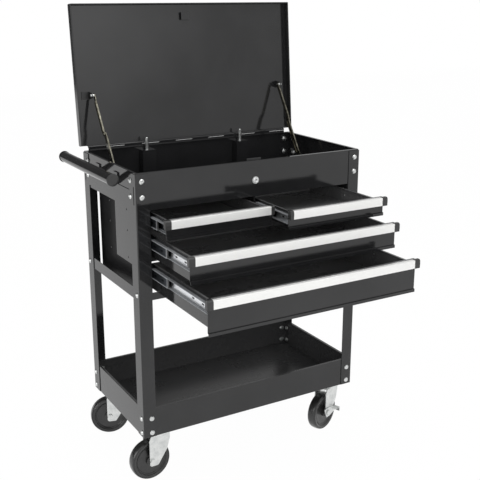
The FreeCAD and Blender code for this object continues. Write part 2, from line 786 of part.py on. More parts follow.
def lock_rod(x):
    """Round rod with a chamfered tip and a flat bar down behind the drawers."""
    foot = BOX_Z + ROD_FOOT
    length = RIM_Z + ROD_RISE - foot
    straight, tip = length - ROD_CHAMFER, ROD_R - ROD_CHAMFER
    outline = [(0, 0), (0, ROD_R), (straight, ROD_R), (length, tip), (length, 0)]
    rod = revolve(outline, (x, ROD_Y, foot), (0, 0, 1))
    half_w, half_t = ROD_BAR_W / 2, ROD_BAR_T / 2
    low, high = HOUSING_Z + ROD_BAR_UP, foot + ROD_R
    bar = block(x - half_w, x + half_w, ROD_Y - half_t, ROD_Y + half_t, low, high)
    return joined([rod, bar])


def lock_housing():
    """Key lock's flanged sleeve and the latch plate behind the front panel."""
    front = -BOX_Y
    back = front + LOCK_DEPTH
    inside = front + SHEET
    sleeve = round_bar(BARREL_R + SLEEVE_T, (0, front, LOCK_Z), (0, back, LOCK_Z))
    ring = round_bar(LOCK_R, (0, front - RING_T, LOCK_Z), (0, front, LOCK_Z))
    bore = round_bar(BARREL_R + PIN_FIT, (0, front - 2 * RING_T, LOCK_Z), (0, back + RING_T, LOCK_Z))
    half = LATCH_W / 2
    bend = RIM_Z - 2 * HEM
    over = inside + HEM + POST_T
    plate = block(-half, half, inside, inside + POST_T, LOCK_Z - LATCH_SKIRT, RIM_Z - SHEET)
    step = block(-half, half, inside, over, bend, bend + POST_T)
    neck = block(-half, half, inside + HEM, over, bend, RIM_Z + LATCH_RISE)
    through = round_bar(BARREL_R + SLEEVE_T, (0, front, LOCK_Z), (0, back, LOCK_Z))
    return group([joined([sleeve, ring]).cut(bore), joined([plate, step, neck]).cut(through)])


def lock_barrel():
    """Turning barrel with its key slot and the cam on its inner end."""
    front = -BOX_Y - BARREL_OUT
    back = -BOX_Y + LOCK_DEPTH + CLEAR
    width, height, depth = KEY_SLOT
    barrel = round_bar(BARREL_R, (0, front, LOCK_Z), (0, back, LOCK_Z))
    slot = block(-width / 2, width / 2, front, front + depth, LOCK_Z - height / 2, LOCK_Z + height / 2)
    half = CAM_W / 2
    outline = [
        (-half, LOCK_Z - BARREL_R),
        (half, LOCK_Z - BARREL_R),
        (half, LOCK_Z + BARREL_R),
        (half * 0.7, LOCK_Z + CAM_REACH),
        (-half * 0.7, LOCK_Z + CAM_REACH),
        (-half, LOCK_Z + BARREL_R),
    ]
    return joined([barrel.cut(slot), prism(outline, "y", back, POST_T)])


# ---- ball slides --------------------------------------------------------------------------


def channel_section(x_web, x_lips, half):
    """Section of one slide member as (X, Z) points: a web and two lips."""
    way = 1 if x_lips > x_web else -1
    inner = x_web + way * SLIDE_GAUGE
    return [
        (x_web, -half),
        (x_lips, -half),
        (x_lips, -half + SLIDE_GAUGE),
        (inner, -half + SLIDE_GAUGE),
        (inner, half - SLIDE_GAUGE),
        (x_lips, half - SLIDE_GAUGE),
        (x_lips, half),
        (x_web, half),
    ]


def slide_sections(x_wall, way):
    """Nested sections of cabinet, middle and drawer member, from a wall inwards."""
    step = SLIDE_GAUGE + CLEAR
    cabinet = channel_section(x_wall, x_wall + way * (SLIDE_T - step), SLIDE_H / 2)
    middle = channel_section(x_wall + way * step, x_wall + way * (SLIDE_T - step), SLIDE_H / 2 - step)
    drawer = channel_section(x_wall + way * SLIDE_T, x_wall + way * (2 * step), SLIDE_H / 2 - 2 * step)
    return cabinet, middle, drawer


def member(section, z_mid, front, length, slots):
    """One slide member, pierced by oblong slots at distances from its front end."""
    shape = prism([(x, z + z_mid) for x, z in section], "y", front, length)
    xs = [x for x, _ in section]
    for at in slots:
        y0, y1 = front + at - SLIDE_SLOT_L / 2, front + at + SLIDE_SLOT_L / 2
        half = SLIDE_SLOT_H / 2
        shape = shape.cut(block(min(xs), max(xs), y0, y1, z_mid - half, z_mid + half))
    return shape


def slide_walls(name):
    """The two walls a drawer runs between, as (X, way inwards)."""
    middle_wall = CENTRE_GAP / 2
    left = (middle_wall, 1) if name == "top_right" else (-RUNNER_X, 1)
    right = (-middle_wall, -1) if name == "top_left" else (RUNNER_X, -1)
    return left, right


def slides(name):
    """Cabinet, middle and drawer members of one drawer, each as a pair."""
    top, _, _, out, lead = DRAWERS[name]
    z_mid = top - RUNNER_DROP
    front = -HALF_D + SLIDE_FRONT
    sets = ([], [], [])
    for x_wall, way in slide_walls(name):
        cabinet, middle, runner = slide_sections(x_wall, way)
        sets[0].append(member(cabinet, z_mid, front, SLIDE_L, ()))
        sets[1].append(member(middle, z_mid, -HALF_D - lead, SLIDE_L - MIDDLE_SHORT, MIDDLE_SLOTS))
        sets[2].append(member(runner, z_mid, front - out, SLIDE_L, RUNNER_SLOTS))
    return [group(pieces) for pieces in sets]


# ---- drawers -----------------------------------------------------------------------------


def face_span(name):
    half_gap = CENTRE_GAP / 2
    left = half_gap if name == "top_right" else -FACE_X
    right = -half_gap if name == "top_left" else FACE_X
    return left, right


def drawer_box(name):
    """Folded drawer: floor, walls and a front with a lip and a stepped hem."""
    top, height, rise, out, _ = DRAWERS[name]
    low = top - height
    y = -HALF_D - out
    x0, x1 = face_span(name)
    (wall0, _), (wall1, _) = slide_walls(name)
    in0, in1 = wall0 + SLIDE_T, wall1 - SLIDE_T
    z0, z1 = low + rise, top - DRAWER_DROP
    y0, y1 = y + SHEET, y + DRAWER_DEPTH
    outer = block(in0, in1, y0, y1, z0, z1)
    inner = block(in0 + SHEET, in1 - SHEET, y0 + SHEET, y1 - SHEET, z0 + SHEET, z1 - SHEET)
    edge = SHEET + DRAWER_RIM
    mouth = block(in0 + edge, in1 - edge, y0 + edge, y1 - edge, z0 + SHEET, z1 + SHEET)
    body = cut(outer, [inner, mouth])
    hem = low + FACE_HEM_H
    face_section = [
        (y, top),
        (y, hem),
        (y - FACE_HEM_OUT, hem - SHEET),
        (y - FACE_HEM_OUT, low),
        (y - FACE_HEM_OUT + SHEET, low),
        (y - FACE_HEM_OUT + SHEET, hem - SHEET * 1.6),
        (y + SHEET, hem),
        (y + SHEET, top - SHEET),
        (y + FACE_LIP, top - SHEET),
        (y + FACE_LIP, top),
    ]
    face = prism(face_section, "x", x0, x1 - x0)
    return joined([body, face])


def drawer_pull(name):
    """Extruded pull: a flat top, a rounded nose and a front with a turned lip."""
    top, _, _, out, _ = DRAWERS[name]
    y = -HALF_D - out
    x0, x1 = face_span(name)
    nose = PULL_T * 1.2
    section = [
        (y, top),
        (y - PULL_OUT + nose, top),
        (y - PULL_OUT + nose * 0.3, top - nose * 0.3),
        (y - PULL_OUT, top - nose),
        (y - PULL_OUT, top - PULL_H),
        (y - PULL_OUT + PULL_LIP, top - PULL_H),
        (y - PULL_OUT + PULL_LIP, top - PULL_H + PULL_T),
        (y - PULL_OUT + PULL_T, top - PULL_H + PULL_T),
        (y - PULL_OUT + PULL_T, top - PULL_T),
        (y - PULL_T, top - PULL_T),
        (y - PULL_T, top - PULL_H * 0.4),
        (y, top - PULL_H * 0.4),
    ]
    return prism(section, "x", x0 + CAP_W, x1 - x0 - 2 * CAP_W)


def drawer_caps(name):
    """Moulded end caps that close the pull at both ends."""
    top, _, _, out, _ = DRAWERS[name]
    y = -HALF_D - out
    front = y - PULL_OUT
    low = top - PULL_H - CAP_LAP
    nose = PULL_T * 2
    section = [
        (y - CLEAR, top + CAP_LAP),
        (front + nose, top + CAP_LAP),
        (front, top - nose * 0.6),
        (front - CAP_LAP * 0.6, top - PULL_H / 2),
        (front, low),
        (front + PULL_LIP + 2 * CAP_LAP, low),
        (y - CLEAR, low + 6 * CAP_LAP),
    ]
    x0, x1 = face_span(name)
    over0 = 0 if name == "top_right" else CAP_OVER
    over1 = 0 if name == "top_left" else CAP_OVER
    return group([
        prism(section, "x", x0 - over0, CAP_W + over0),
        prism(section, "x", x1 - CAP_W, CAP_W + over1),
    ])


# ---- casters -----------------------------------------------------------------------------


def caster_centre(name):
    side, end = CASTERS[name][:2]
    return side * (HALF_W - CASTER_IN_X), end * (HALF_D - CASTER_IN_Y)


def trail_way(name):
    """Unit direction from the swivel axis to the wheel, in plan."""
    turn = math.radians(CASTERS[name][2])
    return -math.cos(turn), -math.sin(turn)


def caster_plate(name):
    """Top plate and headed kingpin under one corner of the tray."""
    x, y = caster_centre(name)
    z = CASTER_H - PLATE_T
    plate = block(x - PLATE_X / 2, x + PLATE_X / 2, y - PLATE_Y / 2, y + PLATE_Y / 2, z, CASTER_H)
    plate = soften(plate, PLATE_CORNER, upright)
    low = FORK_Z - FORK_T - CLEAR
    pin = round_bar(KINGPIN_R, (x, y, low), (x, y, z))
    head = round_bar(KINGPIN_HEAD_R, (x, y, low - KINGPIN_HEAD_H), (x, y, low))
    return joined([plate, pin, head])


def caster_plates():
    return group([caster_plate(name) for name in CASTERS])


def fork(name):
    """Pressed fork with a race cup, two tapered legs and the axle bolt across them."""
    axle_x = -WHEEL_OFFSET
    back = axle_x - FORK_BACK
    foot = WHEEL_R - FORK_BELOW
    shoulder = FORK_Z - FORK_SHOULDER
    width = FORK_IN + FORK_T
    leg = [
        (back, foot),
        (back, shoulder),
        (back + FORK_SHOULDER * 0.4, FORK_Z),
        (FORK_FRONT, FORK_Z),
        (FORK_FRONT, shoulder),
        (FORK_KNEE, WHEEL_R + FORK_KNEE_UP),
        (back + FORK_FOOT_L, foot),
    ]
    yoke = prism(leg, "y", -width, 2 * width)
    yoke = soften(yoke, FORK_CORNER, lambda edge: level(edge, foot) and edge.BoundBox.XLength < 0.01)
    yoke = soften(yoke, FORK_T, lambda edge: level(edge, FORK_Z) and edge.BoundBox.YLength < 0.01)
    gap = block(2 * back, 2 * FORK_FRONT, -FORK_IN, FORK_IN, 0, FORK_Z - FORK_T)
    cup = round_bar(RACE_R, (0, 0, FORK_Z), (0, 0, FORK_Z + RACE_H - CLEAR))
    grip = BRAKE_T + 2 * CLEAR if CASTERS[name][3] else 0
    outside = -width - grip
    axle = round_bar(AXLE_R, (axle_x, outside, WHEEL_R), (axle_x, width, WHEEL_R))
    head = hexagon(AXLE_HEAD_R, AXLE_HEAD_H, (axle_x, outside, WHEEL_R), (0, -1, 0))
    nut = hexagon(AXLE_HEAD_R, AXLE_HEAD_H, (axle_x, width, WHEEL_R), (0, 1, 0))
    body = joined([yoke.cut(gap), cup, axle, head, nut])
    kingpin = round_bar(KINGPIN_R + PIN_FIT, (0, 0, FORK_Z - 2 * FORK_T), (0, 0, CASTER_H))
    return placed_caster(body.cut(kingpin), name)


def placed_caster(shape, name):
    """Turn a caster piece built round Z = 0 to its heading and corner."""
    x, y = caster_centre(name)
    shape = turned(shape, (0, 0, 0), (0, 0, 1), CASTERS[name][2])
    shape.translate(V(x, y, 0))
    return shape


def wheel(name):
    """Moulded wheel with a crowned tread, dished faces and a hub."""
    half = WHEEL_W / 2
    profile = [
        (HUB_W / 2, AXLE_R + PIN_FIT),
        (HUB_W / 2, HUB_R),
        (half - WHEEL_DISH, HUB_R),
        (half, WHEEL_R - WHEEL_CROWN),
        (half - WHEEL_CROWN, WHEEL_R),
    ]
    outline = profile + [(-a, r) for a, r in reversed(profile)]
    body = revolve(outline, (-WHEEL_OFFSET, 0, WHEEL_R), (0, 1, 0))
    return placed_caster(body, name)


def brake(name):
    """Pressed brake lever on the axle, between the fork and the axle's head."""
    y = -(FORK_IN + FORK_T + CLEAR)
    x, z = -WHEEL_OFFSET, WHEEL_R
    ahead, behind = x + BRAKE_AHEAD, x - BRAKE_BEHIND
    arm = [
        (behind, z + BRAKE_UP * 0.7),
        (x - BRAKE_BEHIND * 0.4, z - BRAKE_UP),
        (x + BRAKE_BEHIND * 0.4, z - BRAKE_UP),
        (ahead, z - BRAKE_UP * 0.4),
        (ahead, z + BRAKE_UP * 0.5),
        (x + BRAKE_BEHIND * 0.4, z + BRAKE_UP),
        (behind, z + BRAKE_UP),
    ]
    lever = prism(arm, "y", y - BRAKE_T, BRAKE_T)
    tread = block(ahead - BRAKE_T, ahead, y - BRAKE_PEDAL, y, z - BRAKE_UP * 0.4, z + BRAKE_UP * 0.5)
    bore = round_bar(AXLE_R + PIN_FIT, (x, y - 2 * BRAKE_T, z), (x, y + BRAKE_T, z))
    return placed_caster(joined([lever, tread]).cut(bore), name)


# ---- assembly ------------------------------------------------------------------------------


def build():
    nodes = {}
    nodes.update(posts())
    nodes["top_box"] = top_box()
    nodes["side_panels"] = side_panels()
    nodes["side_rails"] = side_rails()
    nodes["front_rail"] = front_rail()
    nodes["drawer_housing"] = drawer_housing()
    nodes["centre_divider"] = centre_divider()
    nodes["bottom_tray"] = bottom_tray()
    nodes["handle_tube"] = handle_tube()
    nodes["handle_plugs"] = handle_plugs()
    nodes["handle_brackets"] = handle_brackets()
    nodes["frame_bolts"] = frame_bolts()
    nodes["hinge_box_leaf"] = hinge_box_leaf()
    nodes["hinge_lid_leaf"] = hinge_lid_leaf()
    nodes["lid_panel"] = lid_panel()
    nodes["lid_brackets"] = lid_brackets()
    nodes.update(stays())
    nodes["box_brackets"] = box_brackets()
    nodes["lock_rod_left"] = lock_rod(-ROD_X)
    nodes["lock_rod_right"] = lock_rod(ROD_X)
    nodes["lock_housing"] = lock_housing()
    nodes["lock_barrel"] = lock_barrel()
    cabinet_members = []
    for name in DRAWERS:
        cabinet, middle, runner = slides(name)
        cabinet_members.append(cabinet)
        nodes["slide_middle_" + name] = middle
        nodes["slide_runner_" + name] = runner
        nodes["drawer_box_" + name] = drawer_box(name)
        nodes["drawer_pull_" + name] = drawer_pull(name)
        nodes["drawer_caps_" + name] = drawer_caps(name)
    nodes["slide_cabinet"] = group(cabinet_members)
    nodes["caster_plates"] = caster_plates()
    for name, (_, _, _, braked) in CASTERS.items():
        nodes["caster_fork_" + name] = fork(name)
        nodes["caster_wheel_" + name] = wheel(name)
        if braked:
            nodes["caster_brake_" + name] = brake(name)
    return nodes


def floor_origin(nodes):
    """Move that puts the middle of the covered floor area at the origin."""
    box = FreeCAD.BoundBox()
    for shape in nodes.values():
        box.add(shape.optimalBoundingBox(False))
    return V(-box.Center.x, -box.Center.y, -box.ZMin)


def main():
    nodes = build()
    shift = floor_origin(nodes)
    os.makedirs("parts", exist_ok=True)
    for name, shape in nodes.items():
        shape.translate(shift)
        shape.exportStep(os.path.join("parts", name + ".step"))
    return nodes, shift


NODES, SHIFT = main()
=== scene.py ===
"""Looks of a rolling tool chest: finishes, small fittings, floor, lamps and camera."""

import json
import math

import bmesh
import bpy
from mathutils import Matrix, Vector

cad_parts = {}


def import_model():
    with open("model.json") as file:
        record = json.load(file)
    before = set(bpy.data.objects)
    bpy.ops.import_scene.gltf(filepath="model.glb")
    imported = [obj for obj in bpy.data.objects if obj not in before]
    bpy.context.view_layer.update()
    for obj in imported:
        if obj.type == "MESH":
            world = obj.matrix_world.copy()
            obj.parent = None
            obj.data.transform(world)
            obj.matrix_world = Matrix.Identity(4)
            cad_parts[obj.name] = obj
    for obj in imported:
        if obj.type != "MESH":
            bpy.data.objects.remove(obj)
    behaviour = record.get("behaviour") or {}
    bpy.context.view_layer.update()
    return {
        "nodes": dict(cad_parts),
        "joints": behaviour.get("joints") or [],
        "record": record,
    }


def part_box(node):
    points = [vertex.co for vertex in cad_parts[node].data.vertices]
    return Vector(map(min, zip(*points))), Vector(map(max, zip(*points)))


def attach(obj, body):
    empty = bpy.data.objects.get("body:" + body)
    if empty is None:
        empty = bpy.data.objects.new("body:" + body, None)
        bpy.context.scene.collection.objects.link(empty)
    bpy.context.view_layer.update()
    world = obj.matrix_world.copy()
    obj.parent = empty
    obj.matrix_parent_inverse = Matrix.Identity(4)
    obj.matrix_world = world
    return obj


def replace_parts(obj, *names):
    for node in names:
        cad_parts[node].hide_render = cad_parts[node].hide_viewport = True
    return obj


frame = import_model()

SHEET = 0.0015            # thickness of the folded panels
DRAWERS = ("top_left", "top_right", "middle", "bottom")
CASTERS = ("front_left", "front_right", "rear_left", "rear_right")


# ---- places read from the frame ------------------------------------------------

SAME_CORNER = 1e-6        # corners of a node's mesh closer than this are one


def node_box(name):
    low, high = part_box(name)
    return Vector(low), Vector(high)


def joint(name):
    return next(entry for entry in frame["joints"] if entry["name"] == name)


def joint_place(name):
    return Vector(joint(name)["pos_m"])


def cart_middle():
    """Middle of the posts, at floor level."""
    low, _ = node_box("post_front_left")
    _, high = node_box("post_rear_right")
    return Vector(((low.x + high.x) / 2, (low.y + high.y) / 2, 0))


def solids(name):
    """Lowest and highest corner of each separate solid of a node."""
    drawn = bmesh.new()
    drawn.from_mesh(frame["nodes"][name].data)
    bmesh.ops.remove_doubles(drawn, verts=drawn.verts, dist=SAME_CORNER)
    left = set(drawn.verts)
    boxes = []
    while left:
        reach = [left.pop()]
        low, high = reach[0].co.copy(), reach[0].co.copy()
        while reach:
            corner = reach.pop()
            for k in range(3):
                low[k] = min(low[k], corner.co[k])
                high[k] = max(high[k], corner.co[k])
            for edge in corner.link_edges:
                other = edge.other_vert(corner)
                if other in left:
                    left.remove(other)
                    reach.append(other)
        boxes.append((low, high))
    drawn.free()
    return sorted(boxes, key=lambda box: tuple(round(c, 4) for c in box[0]))


MIDDLE = cart_middle()


# ---- shader building ---------------------------------------------------------------

NOISE_BAND = (0.3, 0.7)   # most of a noise's values lie between these


class Wire:
    """An output socket that can be written in sums and products."""

    def __init__(self, nodes, socket):
        self.nodes = nodes
        self.socket = socket

    def math(self, operation, *values):
        sockets = dict(enumerate(values))
        return self.nodes.add("ShaderNodeMath", {"operation": operation}, sockets)["Value"]

    def __add__(self, other):
        return self.math("ADD", self, other)

    def __radd__(self, other):
        return self.math("ADD", other, self)

    def __sub__(self, other):
        return self.math("SUBTRACT", self, other)

    def __rsub__(self, other):
        return self.math("SUBTRACT", other, self)

    def __mul__(self, other):
        return self.math("MULTIPLY", self, other)

    def __rmul__(self, other):
        return self.math("MULTIPLY", other, self)

    def __gt__(self, other):
        return self.math("GREATER_THAN", self, other)

    def __lt__(self, other):
        return self.math("LESS_THAN", self, other)

    def __or__(self, other):
        return self.math("MAXIMUM", self, other)

    def __abs__(self):
        return self.math("ABSOLUTE", self)


class Outputs:
    """Lets a node's outputs be picked by name or number."""

    def __init__(self, nodes, node):
        self.nodes = nodes
        self.node = node

    def __getitem__(self, name):
        return Wire(self.nodes, self.node.outputs[name])


class Nodes:
    """A node tree that is filled one node at a time."""

    def __init__(self, tree):
        self.tree = tree

    def add(self, kind, settings=None, sockets=None):
        """A node by its type, with its settings made first and its sockets fed after."""
        node = self.tree.nodes.new(kind)
        for key, value in (settings or {}).items():
            setattr(node, key, value)
        for key, value in (sockets or {}).items():
            self.join(node.inputs[key], value)
        return Outputs(self, node)

    def join(self, socket, value):
        if isinstance(value, Wire):
            self.tree.links.new(value.socket, socket)
        else:
            socket.default_value = value

    def place(self):
        return self.add("ShaderNodeTexCoord")["Object"]

    def along(self):
        """X, Y and Z of the shaded point."""
        parts = self.add("ShaderNodeSeparateXYZ", None, {"Vector": self.place()})
        return parts["X"], parts["Y"], parts["Z"]

    def stretched(self, scale):
        mapping = self.add("ShaderNodeMapping", None, {"Vector": self.place(), "Scale": scale})
        return mapping["Vector"]

    def noise(self, scale, detail=2.0, roughness=0.5, at=None):
        return self.add("ShaderNodeTexNoise", None, {
            "Vector": at or self.place(),
            "Scale": scale,
            "Detail": detail,
            "Roughness": roughness,
        })["Fac"]

    def blend(self, mask, first, second):
        """A colour that goes from the first to the second with the mask."""
        sockets = {0: mask, 6: first, 7: second}
        return self.add("ShaderNodeMix", {"data_type": "RGBA"}, sockets)[2]

    def mixed(self, mask, first, second):
        """A number that goes from the first to the second with the mask."""
        return mask * (second - first) + first

    def limit(self, value, low, high, start=0.0, end=1.0):
        """From start to end as the value goes from low to high, and held beyond."""
        return self.add("ShaderNodeMapRange", {"clamp": True}, {
            "Value": value,
            "From Min": low,
            "From Max": high,
            "To Min": start,
            "To Max": end,
        })["Result"]

    def spread(self, noise, start=0.0, end=1.0):
        """A noise stretched to go all the way from start to end."""
        return self.limit(noise, *NOISE_BAND, start, end)

    def vector(self, operation, first, second, output=0):
        sockets = {0: first, 1: second}
        return self.add("ShaderNodeVectorMath", {"operation": operation}, sockets)[output]


class Finish(Nodes):
    """A material with its shader and the sockets that the nodes feed."""

    def __init__(self, name, **fixed):
        self.material = bpy.data.materials.new(name)
        self.material.use_nodes = True
        super().__init__(self.material.node_tree)
        self.shader = self.tree.nodes["Principled BSDF"]
        for socket, value in fixed.items():
            self.feed(socket.replace("_", " "), value)

    def feed(self, name, value):
        self.join(self.shader.inputs[name], value)

    def bump(self, height, strength, distance):
        sockets = {"Height": height, "Strength": strength, "Distance": distance}
        self.feed("Normal", self.add("ShaderNodeBump", None, sockets)["Normal"])


def grey(level):
    return (level, level, level, 1.0)


# ---- finishes --------------------------------------------------------------------------

BLACK = (0.0085, 0.0086, 0.0090, 1.0)
HAZE = (0.015, 0.015, 0.0156, 1.0)
# housing and divider: painted shade, a flat paint a touch lighter than the outer paint
HOUSING_SHADE = (0.011, 0.011, 0.0113, 1.0)
HOUSING_SHADE_HAZE = (0.016, 0.016, 0.0164, 1.0)
# inner faces of the drawers and the tray: painted light, lighter than the outer paint
INSIDE_PAINTED_LIGHT = ((0.074, 0.074, 0.075, 1.0), (0.086, 0.086, 0.087, 1.0))
TRAY_INSIDE_PAINTED_LIGHT = ((0.022, 0.022, 0.0225, 1.0), (0.030, 0.030, 0.0305, 1.0))
ZINC_BRIGHT = (0.74, 0.75, 0.74, 1.0)
ZINC_DULL = (0.60, 0.615, 0.61, 1.0)
YELLOW_ZINC_BRIGHT = (0.22, 0.21, 0.17, 1.0)
YELLOW_ZINC_DULL = (0.07, 0.066, 0.052, 1.0)
# painted shade and painted light of the slides: dark in the cabinet, bright where drawn out
SLIDE_PAINTED_SHADE = ((0.020, 0.023, 0.028, 1.0), (0.060, 0.069, 0.082, 1.0))
SLIDE_PAINTED_LIGHT = ((0.72, 0.74, 0.76, 1.0), (0.90, 0.91, 0.93, 1.0))
ALLOY = ((0.67, 0.67, 0.66, 1.0), (0.85, 0.85, 0.835, 1.0))
CHROME = ((0.80, 0.81, 0.82, 1.0), (0.95, 0.95, 0.96, 1.0))
RUBBER = (grey(0.008), grey(0.018))

PAINT_IOR = 1.5
PAINT_GLOSS = 0.06
HANDLE_GLOSS = 0.05
HOUSING_GLOSS = 0.36
HOUSING_SHADE_MIRROR = 0.09     # painted shade: the housing paint mirrors little so that it looks dark in its recess
INSIDE_DULLER = 0.20
YELLOW_ZINC_GLOSS = 0.24
PLASTIC_LEVEL = 0.016
PLASTIC_GLOSS = 0.36

# noises: scale, detail and roughness
ORANGE_PEEL = (900, 3.0, 0.55)
PAINT_CLOUD = (7, 4.0, 0.6)
DUST = (160, 5.0, 0.7)
SPANGLE = (70, 3.0, 0.6)
DRAW_MARKS = (30, 4.0, 0.7)
BRUSH_LINES = (60, 5.0, 0.75)
ALLOY_CLOUD = (5, 2.0)
PLASTIC_GRAIN = (1400, 2.0)
PLASTIC_CLOUD = (14, 3.0)
SCUFFS = (45, 6.0, 0.7)
RUBBER_GRAIN = (700, 2.0)
TURNED = (900, 2.0)

# how much finer a pattern is along each axis
PLATE_STRETCH = (90, 3, 90)
SLIDE_STRETCH = (60, 2, 60)
BRUSH_STRETCH = (0.6, 60, 60)

GRAIN_DEPTH = 0.0004      # height of the small bumps in a finish
SPOTTY_DEPTH = 0.0005
BRUSH_DEPTH = 0.0003

FRONT_HEM = 0.004         # from the drawer's face to its inner side
PIN_HEAD_R = 0.0056       # bare zinc round the stay's pin

DRAWN_OUT = 0.100         # painted light on the slides this far ahead of the cabinet, painted shade behind
SHADE_EDGE_WAVE = 0.006       # unevenness of the edge of the painted shade
SHADE_EDGE_SPAN = (-0.004, 0.008)
TRACK_H = 0.0030          # ball track at the upper and lower edge of a slide, given a painted highlight
TRACK_FADE = 0.0006
TRACK_END = 0.0035        # painted highlight at the front end
TRACK_PAINTED_HIGHLIGHT = 0.30
TRACK_DULLER = 0.65


def powder_coat(name, colour=BLACK, lighter=HAZE, gloss=PAINT_GLOSS, mirror=0.5, painted_light_in=None,
                painted_light=INSIDE_PAINTED_LIGHT):
    """Baked powder paint: a fine orange peel, faint dust and slightly uneven gloss; when a pan
    is given, its inner faces are painted lighter as painted light.
    """
    paint = Finish(name, Specular_IOR_Level=mirror, IOR=PAINT_IOR)
    peel = paint.noise(*ORANGE_PEEL)
    cloud = paint.noise(*PAINT_CLOUD)
    dust = paint.limit(paint.noise(*DUST), 0.62, 0.8, 0.0, 0.10)
    shade = paint.blend(paint.limit(cloud, 0.35, 0.65) * 0.6 + dust, colour, lighter)
    rough = paint.spread(cloud, gloss - 0.015, gloss + 0.03) + peel * 0.02
    # painted light: the inner faces of the given pan get a lighter colour
    if painted_light_in:
        inside = within(paint, painted_light_in)
        shade = paint.blend(inside, shade, paint.blend(cloud, *painted_light))
        rough = rough + inside * INSIDE_DULLER
    paint.feed("Base Color", shade)
    paint.feed("Roughness", rough)
    paint.bump(peel, 0.06, GRAIN_DEPTH)
    return paint.material


def within(paint, node):
    """1 on the inner faces of a folded pan, 0 on its outer ones."""
    low, high = node_box(node)
    if node.startswith("drawer_box"):
        left, right = solids(node.replace("drawer_box", "slide_runner"))
        low.x, high.x = left[1].x, right[0].x
        low.y += FRONT_HEM
    x, y, _ = paint.along()
    inside = (x > low.x + SHEET / 2) * (x < high.x - SHEET / 2)
    return inside * (y > low.y + SHEET / 2) * (y < high.y - SHEET / 2)


def plated_steel(name, bright, dull, gloss=0.3):
    """Zinc plate with a soft spangle and drawing marks."""
    plate = Finish(name, Metallic=1.0)
    spangle = plate.noise(*SPANGLE)
    drawn = plate.noise(*DRAW_MARKS, plate.stretched(PLATE_STRETCH))
    plate.feed("Base Color", plate.blend(plate.limit(spangle, 0.35, 0.65), dull, bright))
    plate.feed("Roughness", plate.spread(drawn, gloss - 0.08, gloss + 0.10))
    plate.bump(drawn, 0.08, GRAIN_DEPTH)
    return plate.material


def plated_and_painted(name, painted):
    """Zinc plate on one part of a node and black paint where the mask is 1."""
    steel = Finish(name, IOR=PAINT_IOR)
    mask = painted(steel)
    spangle = steel.noise(*SPANGLE)
    zinc = steel.blend(spangle, ZINC_DULL, ZINC_BRIGHT)
    steel.feed("Base Color", steel.blend(mask, zinc, BLACK))
    steel.feed("Metallic", 1 - mask)
    steel.feed("Roughness", steel.mixed(mask, 0.28, 0.36) + spangle * 0.06)
    steel.bump(steel.noise(*ORANGE_PEEL), 0.08, SPOTTY_DEPTH)
    return steel.material


def bracket_paint(steel):
    """1 away from the stay's pin, where the lid brackets are painted."""
    pin = joint_place("stay_upper_left_pivot")
    flat = steel.vector("MULTIPLY", steel.place(), (0.0, 1.0, 1.0))
    span = steel.vector("DISTANCE", flat, (0.0, pin.y, pin.z), "Value")
    return span > PIN_HEAD_R


def latch_paint(steel):
    """1 behind the front panel, where the lock's latch plate is painted."""
    _, y, _ = steel.along()
    return y > node_box("top_box")[0].y + SHEET / 2


def slide_steel(name, node):
    """Zinc-plated slide: painted shade inside the cabinet, painted light where it is drawn out.

    A painted highlight sets the ball tracks at the upper and lower lips and the front end of
    the moving members to a middle blue grey.
    """
    plate = Finish(name)
    _, y, z = plate.along()
    low, high = node_box(node)
    streak = plate.noise(*DRAW_MARKS, plate.stretched(SLIDE_STRETCH))
    edge = node_box("slide_cabinet")[0].y - DRAWN_OUT
    before, behind = (edge + step for step in SHADE_EDGE_SPAN)
    # 1 for painted light ahead of the cabinet, 0 for painted shade behind it
    lit_share = plate.limit(y + streak * SHADE_EDGE_WAVE, before, behind, 1.0, 0.0)
    lip_highlight = 0.0
    # painted highlight along the lips and at the front end of the moving members
    if len(solids(node)) == 2:
        from_middle = abs(z - (low.z + high.z) / 2)
        track = (high.z - low.z) / 2 - TRACK_H
        lip_highlight = plate.limit(from_middle, track, track + TRACK_FADE) | (y < low.y + TRACK_END)
        lit_share = plate.mixed(lip_highlight, lit_share, TRACK_PAINTED_HIGHLIGHT)
    shaded_colour = plate.blend(streak, *SLIDE_PAINTED_SHADE)
    # colour of the painted light ahead of the cabinet
    bright = plate.blend(streak, *SLIDE_PAINTED_LIGHT)
    plate.feed("Base Color", plate.blend(lit_share, shaded_colour, bright))
    plate.feed("Metallic", 1 - lip_highlight * TRACK_DULLER)
    plate.feed("Roughness", plate.spread(streak, 0.24, 0.42))
    plate.bump(streak, 0.08, GRAIN_DEPTH)
    return plate.material


def brushed_aluminium(name):
    """Anodised extrusion brushed along its length."""
    alloy = Finish(name, Metallic=0.62, Specular_IOR_Level=0.6)
    lines = alloy.noise(*BRUSH_LINES, alloy.stretched(BRUSH_STRETCH))
    tone = alloy.spread(lines) * 0.7 + alloy.noise(*ALLOY_CLOUD) * 0.3
    alloy.feed("Base Color", alloy.blend(tone, *ALLOY))
    alloy.feed("Roughness", alloy.spread(lines, 0.36, 0.52))
    alloy.bump(lines, 0.06, BRUSH_DEPTH)
    return alloy.material


def moulded_plastic(name, level, gloss):
    """Fine-grained moulding."""
    plastic = Finish(name)
    grain = plastic.noise(*PLASTIC_GRAIN)
    cloud = plastic.noise(*PLASTIC_CLOUD)
    plastic.feed("Base Color", plastic.blend(cloud, grey(level * 0.85), grey(level * 1.25)))
    plastic.feed("Roughness", plastic.spread(grain, gloss - 0.05, gloss + 0.08))
    plastic.bump(grain, 0.15, GRAIN_DEPTH)
    return plastic.material


